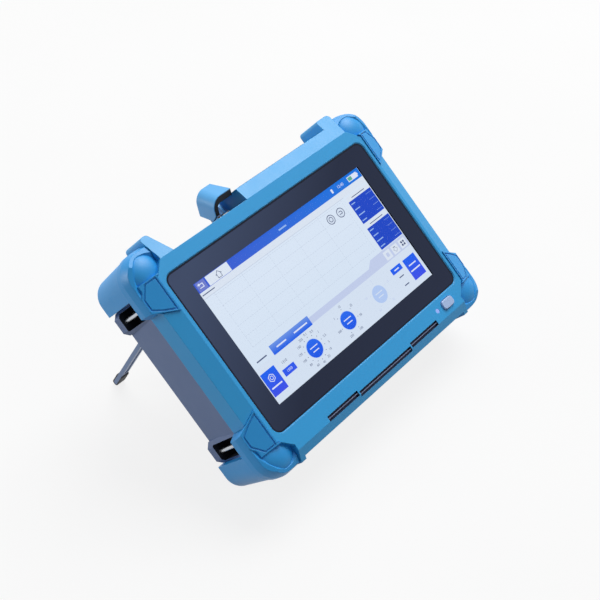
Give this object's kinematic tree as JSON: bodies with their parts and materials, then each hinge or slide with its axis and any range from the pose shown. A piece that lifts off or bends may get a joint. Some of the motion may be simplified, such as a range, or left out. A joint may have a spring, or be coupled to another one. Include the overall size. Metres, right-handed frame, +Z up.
{
  "type": "optical time domain reflectometer",
  "caption": "Tablet-style optical time domain reflectometer with touch screen, corner bumpers, strap lugs, hinged dust cover over its optical port and a folding rear stand.",
  "frame": {"origin": "bottom centre of the bounding box of the instrument as it leans on its open stand: the plane that its two lower heels and two stand feet touch", "axes": "+Z up from the table, +X to the right of someone facing the screen, +Y away from them; the screen faces -Y and up, leaned back 49.3 degrees from upright"},
  "size_m": [0.219, 0.1606, 0.1394],
  "materials": {
    "shell_blue": "satin moulded plastic",
    "bumper_blue": "over-moulded elastomer",
    "housing_grey": "fine matt texture",
    "cover_blue": "satin moulded plastic",
    "seal_black": "matt",
    "glass_dark": "gloss, dark border",
    "screen": "display",
    "button_grey": "satin",
    "light_pipe": "clear",
    "steel": "brushed",
    "stand_blue": "satin",
    "board_green": "solder mask",
    "module_metal": "machined",
    "black_plastic": "matt",
    "door_grey": "fine matt texture",
    "ferrule_white": "polished",
    "port_metal": "plated"
  },
  "bodies": {
    "instrument": {"front_bezel": "shell_blue", "touch_glass": "glass_dark", "glass_gasket": "seal_black", "lcd_module": "screen", "rear_housing": "housing_grey", "corner_bumper_top_left": "bumper_blue", "corner_bumper_top_right": "bumper_blue", "corner_bumper_bottom_left": "bumper_blue", "corner_bumper_bottom_right": "bumper_blue", "strap_pins": "steel", "led_light_pipe": "light_pipe", "main_board": "board_green", "board_screws": "steel", "optical_module": "module_metal", "fibre_spool": "black_plastic", "speaker": "black_plastic", "battery_pack": "black_plastic", "battery_door": "door_grey", "housing_screws": "steel", "port_bay": "black_plastic", "optical_port": "port_metal", "port_ferrule": "ferrule_white", "dust_cover_hinge_pin": "steel", "stand_brackets": "housing_grey"},
    "dust_cover": {"dust_cover": "cover_blue", "dust_cover_seal": "seal_black"},
    "power_button": {"power_button": "button_grey"},
    "stand": {"stand_legs": "stand_blue", "stand_feet": "seal_black", "stand_shaft": "steel"}
  },
  "joints": [
    {"name": "power_button_press", "type": "slide", "parent": "instrument", "child": "power_button", "axis": [0, 0.6525, -0.7578], "range_m": [0, 0.0008], "stiffness_N_per_m": 2000, "springref_m": -0.0005},
    {"name": "dust_cover_hinge", "type": "hinge", "parent": "instrument", "child": "dust_cover", "pos_m": [-0.02065, 0.04194, 0.1147], "axis": [1, 0, 0], "range_deg": [0, 56]},
    {"name": "stand_fold", "type": "hinge", "parent": "instrument", "child": "stand", "pos_m": [0, 0.03695, 0.07543], "axis": [-1, 0, 0], "range_deg": [0, 78.6]}
  ]
}
